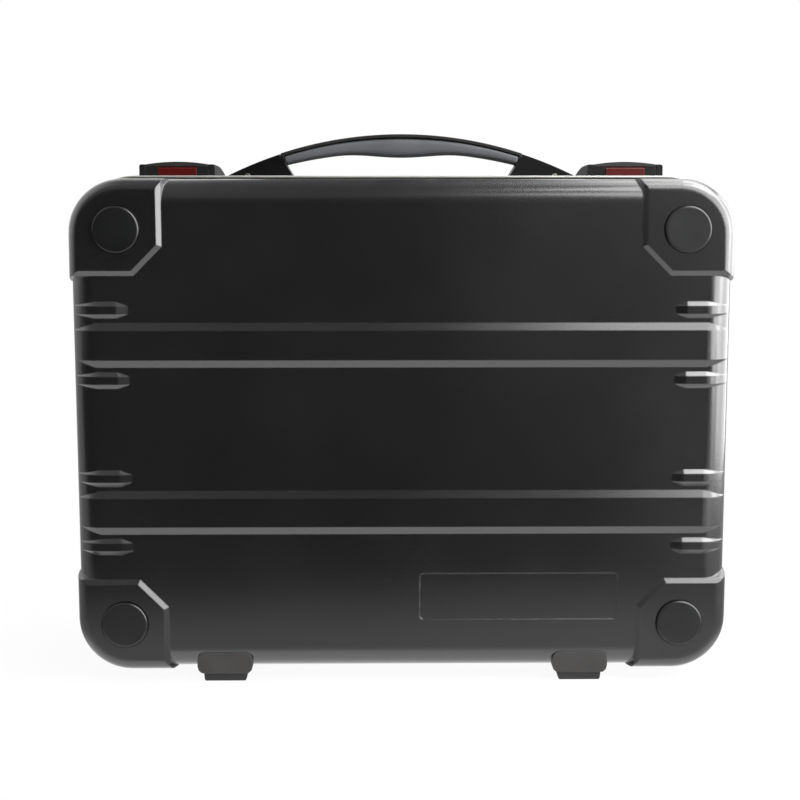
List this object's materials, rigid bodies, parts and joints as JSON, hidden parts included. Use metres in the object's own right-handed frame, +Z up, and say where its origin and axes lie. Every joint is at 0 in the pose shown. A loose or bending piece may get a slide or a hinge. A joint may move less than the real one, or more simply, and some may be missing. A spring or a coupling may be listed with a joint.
{
  "type": "transport case",
  "caption": "Hard transport case with a hinged lid, aluminium rim frames, lever latches with push buttons, corner plugs, feet and a folding bow handle.",
  "frame": {"origin": "middle of the case's width and depth, on the surface that its feet stand on", "axes": "+X across the case to the right, +Y from the lid to the base, +Z up towards the handle"},
  "size_m": [0.4848, 0.174, 0.404],
  "materials": {
    "shell_plastic": "fine leather grain, satin",
    "frame_aluminium": "anodised, fine brushed",
    "seal_rubber": "matte",
    "plug_plastic": "satin",
    "foot_plastic": "satin",
    "foot_rubber": "matte",
    "button_red": "gloss",
    "latch_plastic": "satin",
    "strap_plastic": "satin",
    "grip_soft": "soft, matte",
    "handle_plastic": "satin",
    "steel": "zinc plated"
  },
  "bodies": {
    "base": {"base_shell": "shell_plastic", "base_frame": "frame_aluminium", "base_seal": "seal_rubber", "rim_gasket": "seal_rubber", "base_corner_plugs": "plug_plastic", "base_feet": "foot_plastic", "base_foot_pads": "foot_rubber", "left_base_hinge_leaf": "steel", "right_base_hinge_leaf": "steel", "base_hinge_rivets": "steel", "left_hinge_pin": "steel", "right_hinge_pin": "steel", "left_latch_housing": "latch_plastic", "right_latch_housing": "latch_plastic", "left_latch_pin": "steel", "right_latch_pin": "steel", "latch_rivets": "steel", "left_handle_mount": "handle_plastic", "right_handle_mount": "handle_plastic", "left_handle_pin": "steel", "right_handle_pin": "steel", "handle_mount_screws": "steel"},
    "lid": {"lid_shell": "shell_plastic", "lid_frame": "frame_aluminium", "lid_seal": "seal_rubber", "lid_corner_plugs": "plug_plastic", "lid_feet": "foot_plastic", "lid_foot_pads": "foot_rubber", "left_lid_hinge_leaf": "steel", "right_lid_hinge_leaf": "steel", "lid_hinge_rivets": "steel", "left_keeper": "steel", "right_keeper": "steel"},
    "left_lever": {"left_latch_lever": "latch_plastic", "left_latch_hook": "steel", "left_button_spring": "steel"},
    "right_lever": {"right_latch_lever": "latch_plastic", "right_latch_hook": "steel", "right_button_spring": "steel"},
    "left_button": {"left_latch_button": "button_red"},
    "right_button": {"right_latch_button": "button_red"},
    "handle": {"left_handle_foot": "handle_plastic", "right_handle_foot": "handle_plastic", "handle_foot_rivets": "steel", "handle_strap": "strap_plastic", "handle_grip": "grip_soft"}
  },
  "joints": [
    {"name": "lid_hinge", "type": "hinge", "parent": "base", "child": "lid", "pos_m": [0, -0.018, 0.003], "axis": [1, 0, 0], "range_deg": [0, 105]},
    {"name": "left_latch_lift", "type": "hinge", "parent": "base", "child": "left_lever", "pos_m": [-0.1695, 0.04, 0.3745], "axis": [-1, 0, 0], "range_deg": [0, 60]},
    {"name": "right_latch_lift", "type": "hinge", "parent": "base", "child": "right_lever", "pos_m": [0.1695, 0.04, 0.3745], "axis": [-1, 0, 0], "range_deg": [0, 60]},
    {"name": "left_button_press", "type": "slide", "parent": "left_lever", "child": "left_button", "axis": [0, 1, 0], "range_m": [0, 0.0025], "stiffness_N_per_m": 300, "springref_m": -0.004},
    {"name": "right_button_press", "type": "slide", "parent": "right_lever", "child": "right_button", "axis": [0, 1, 0], "range_m": [0, 0.0025], "stiffness_N_per_m": 300, "springref_m": -0.004},
    {"name": "handle_fold", "type": "hinge", "parent": "base", "child": "handle", "pos_m": [0, 0.012, 0.377], "axis": [-1, 0, 0], "range_deg": [0, 53]}
  ]
}
